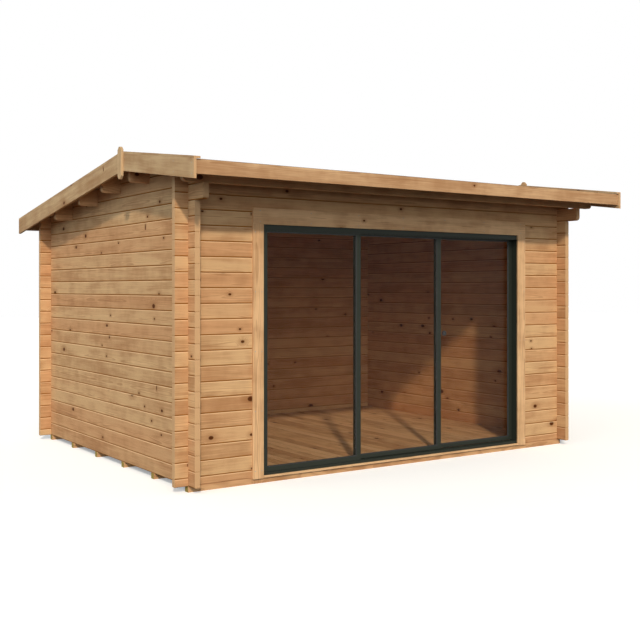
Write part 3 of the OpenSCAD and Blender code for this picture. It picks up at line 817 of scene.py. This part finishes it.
# %% Nails in the floor
JOISTS = 6
HALF_JOIST = 0.022
WALL_ROOM = 0.015
NAIL_OFFSET = 0.025
NAIL = 0.0022
NAIL_RISE = 0.0003
NAIL_SIDES = 6
SLIVER = 0.01
shape = bmesh.new()
joist_low, joist_high = span("foundation_joists", Y)
for k in range(first, last):
    x = opening_left + (k + 0.5) * floor_width
    if not floor_low.x + SLIVER < x < floor_high.x - SLIVER:
        continue
    for j in range(1, JOISTS):
        y = joist_low + HALF_JOIST + (joist_high - joist_low - 2 * HALF_JOIST) * j / (JOISTS - 1)
        y = min(y, floor_high.y - WALL_ROOM)
        for dx in (-NAIL_OFFSET, NAIL_OFFSET):
            centre = Vector((x + dx, y, floor_high.z))
            add_head(shape, centre, Vector((0, 0, 1)), NAIL, NAIL_RISE, NAIL_SIDES)
new_piece("floor_nails", shape, bright_zinc)

# %% [markdown]
# ## Seals round the panes
#
# A pane never touches its metal frame. A black rubber seal holds it on both sides, a wedge that fills
# the corner between glass and rail. Its section is carried round the opening and mitred in the
# corners. Each panel gets a piece of its own, because two of the panels slide and must take their
# seals with them.

# %% Glazing seals
GLASS_IN_RAIL = 0.009
SEAL = ((0.0, 0.0002), (0.0062, 0.0002), (0.0058, 0.0014), (0.0032, 0.0040), (0.0, 0.0052))


def rubber():
    material, tree, shader = new_material("black rubber")
    place = add(tree, "TexCoord").outputs["Object"]
    bloom = noise(tree, place, 35.0, 4.0, 0.6)
    plug(tree, shader.inputs["Base Color"], blend(tree, bloom, rgb(16, 16, 16), rgb(38, 38, 37)))
    plug(tree, shader.inputs["Roughness"], ramp(tree, bloom, 0.2, 0.8, 0.55, 0.8))
    bump(tree, shader, noise(tree, place, 900.0, 2.0), 0.3, 0.0001)
    return material


seal_rubber = rubber()
PANELS = (("left", "house"), ("middle", "middle_panel"), ("right", "right_panel"))
for side, body in PANELS:
    low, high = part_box(side + "_panel_glass")
    shape = bmesh.new()
    left, right = low.x + GLASS_IN_RAIL, high.x - GLASS_IN_RAIL
    bottom, top = low.z + GLASS_IN_RAIL, high.z - GLASS_IN_RAIL
    for face, outside in ((low.y, -1), (high.y, 1)):
        corners = ((left, bottom, 1, 1), (right, bottom, -1, 1), (right, top, -1, -1), (left, top, 1, -1))
        outlines = [[Vector((x + sx * inset, face + outside * lift, z + sz * inset))
                     for inset, lift in SEAL] for x, z, sx, sz in corners]
        join_outlines(shape, outlines, closed=True)
    new_piece(side + "_panel_seals", shape, seal_rubber, body=body)

# %% [markdown]
# ## Powder coated metal
#
# The door's aluminium is coated with a dark grey powder that is melted on. It flows out into a skin
# with a faint orange peel, and it is never quite black: light rakes over it and lifts it. A fine
# noise drives the peel in both the bump and the gloss, and a slow one lets the tone drift a little.

# %% Door metal
def powder_coat(name, colour, gloss=0.16):
    material, tree, shader = new_material(name)
    place = add(tree, "TexCoord").outputs["Object"]
    peel = noise(tree, place, 700.0, 2.0)
    cloud = noise(tree, place, 3.0, 3.0)
    lighter = tuple(channel * 1.3 for channel in colour[:3]) + (1.0,)
    plug(tree, shader.inputs["Base Color"], blend(tree, cloud, colour, lighter))
    plug(tree, shader.inputs["Roughness"], calc(tree, "MULTIPLY_ADD", peel, 0.2, 0.34))
    shader.inputs["Specular IOR Level"].default_value = gloss
    bump(tree, shader, peel, 0.3, 0.0002)
    return material


anthracite = powder_coat("anthracite powder coat", rgb(37, 40, 33))
for name in ("door_head", "door_head_fins", "door_sill", "door_jambs", "left_panel_frame",
             "middle_panel_frame", "right_panel_frame"):
    dress(name, anthracite)
dark_bronze = powder_coat("dark bronze", rgb(30, 27, 25), 0.5)
dress("finger_pull", dark_bronze)
nylon = powder_coat("moulded nylon", rgb(46, 46, 46), 0.4)
for name in ("middle_panel_rollers", "right_panel_rollers"):
    dress(name, nylon)
print("door metal dressed")

# %% [markdown]
# ## Bronze tinted glass
#
# The panes are tinted in the mass, so the room behind them looks darker and browner. Real glass bends
# light and casts a soft shadow that a path tracer finds only slowly. The usual way out is used here:
# a ray that only asks whether light gets through, or that already bounced off the floor, passes
# straight and takes the tint with it, and a ray that somebody looks along meets the real glass.

# %% Glass
PASSES_THE_FACES = 0.88    # share of the light that the two faces of a pane don't throw back


def tinted_glass(name, tint):
    material, tree, shader = new_material(name)
    shader.inputs["Base Color"].default_value = tint
    shader.inputs["Roughness"].default_value = 0.0
    shader.inputs["IOR"].default_value = 1.15
    shader.inputs["Transmission Weight"].default_value = 1.0
    clear = add(tree, "BsdfTransparent", {"Color": tuple(part * PASSES_THE_FACES for part in tint)})
    path = add(tree, "LightPath")
    passing = calc(tree, "MAXIMUM", path.outputs["Is Shadow Ray"], path.outputs["Is Diffuse Ray"])
    mix = add(tree, "MixShader")
    plug(tree, mix.inputs[0], passing)
    plug(tree, mix.inputs[1], shader.outputs[0])
    plug(tree, mix.inputs[2], clear.outputs[0])
    tree.links.new(mix.outputs[0], tree.nodes["Material Output"].inputs["Surface"])
    return material


bronze_glass = tinted_glass("bronze glass", (0.93, 0.87, 0.80, 1.0))
for side, body in PANELS:
    dress(side + "_panel_glass", bronze_glass)
print("panes dressed")

# %% [markdown]
# ## The daylight studio
#
# The house stands alone on a pale floor under a sun that comes over the left shoulder, with two large
# soft lights and a weak sky all round. One lamp alone would leave the eaves black. So the soft front
# light stands low, where it reaches under the eave, and the soft side light fills the left wall. The
# sun is a little warm and the others a little cool, as outdoors. Together they light a wall that
# faces them by about one, so a colour looks as it was written. The white around the house comes from
# what the camera sees, and not from more light: for the rays that are looked along, the sky has a
# strength of one, and for the rays that light the wood it is weaker. The floor is a little warm
# itself, which takes some of the cool tint out of its shade.

# %% Camera
camera_data = bpy.data.cameras.new("camera")
camera_data.lens = 54.15
camera_data.sensor_width = 36.0
camera_data.shift_y = -0.0497
camera = bpy.data.objects.new("camera", camera_data)
camera.location = (-5.068, -7.6165, 1.470)
camera.rotation_euler = (math.radians(90), 0, math.radians(-34.32))
scene.collection.objects.link(camera)
scene.camera = camera
scene.view_settings.view_transform = "Standard"
print("camera at", [round(c, 3) for c in camera.location])

# %% Sun and sky
SUN_TRAVELS = Vector((0.420, 0.749, -0.512))
SKY_FILL = 0.36


def is_looked_at(tree):
    """1 for rays that somebody looks along, directly, in a reflection or through glass."""
    path = add(tree, "LightPath").outputs
    seen = calc(tree, "MAXIMUM", path["Is Camera Ray"], path["Is Glossy Ray"])
    return calc(tree, "MAXIMUM", seen, path["Is Transmission Ray"])


def far_lamp(name, travels, strength, degrees, colour):
    """A lamp so far off that its light is parallel; degrees is how wide it looks in the sky."""
    data = bpy.data.lights.new(name, "SUN")
    data.energy = strength
    data.angle = math.radians(degrees)
    data.color = colour
    lamp = bpy.data.objects.new(name, data)
    lamp.rotation_euler = travels.to_track_quat("-Z", "Y").to_euler()
    scene.collection.objects.link(lamp)


far_lamp("sun", SUN_TRAVELS, 2.36, 3, (1.0, 0.925, 0.80))
far_lamp("soft front light", Vector((0.42, 0.86, -0.29)), 0.95, 38, (0.92, 1.03, 1.14))
far_lamp("soft side light", Vector((0.93, 0.10, -0.35)), 0.76, 60, (0.76, 1.0, 1.2))

world = bpy.data.worlds.new("sky")
world.use_nodes = True
scene.world = world
tree = world.node_tree
seen = is_looked_at(tree)
background = tree.nodes["Background"]
plug(tree, background.inputs["Strength"], ramp(tree, seen, 0.0, 1.0, SKY_FILL, 1.0))
plug(tree, background.inputs["Color"], blend(tree, seen, (0.92, 1.01, 1.08, 1.0), (1.0, 1.0, 1.0, 1.0)))
print("sun and sky ready")

# %% Pale floor of the studio
REACH = 40.0
floor_mesh = bpy.data.meshes.new("ground")
corners = [(-REACH, -REACH, 0), (REACH, -REACH, 0), (REACH, REACH, 0), (-REACH, REACH, 0)]
floor_mesh.from_pydata(corners, [], [(0, 1, 2, 3)])
ground = bpy.data.objects.new("ground", floor_mesh)
scene.collection.objects.link(ground)
ground_finish, tree, shader = new_material("pale ground")
shader.inputs["Roughness"].default_value = 1.0
shader.inputs["Specular IOR Level"].default_value = 0.0
seen = is_looked_at(tree)
plug(tree, shader.inputs["Base Color"], blend(tree, seen, (0.1, 0.1, 0.1, 1), (0.98, 0.93, 0.87, 1)))
glow = add(tree, "Emission", {"Color": (1, 1, 1, 1), "Strength": times(tree, seen, 0.28)})
both = add(tree, "AddShader")
plug(tree, both.inputs[0], shader.outputs[0])
plug(tree, both.inputs[1], glow.outputs[0])
tree.links.new(both.outputs[0], tree.nodes["Material Output"].inputs["Surface"])
floor_mesh.materials.append(ground_finish)
print("studio ready")
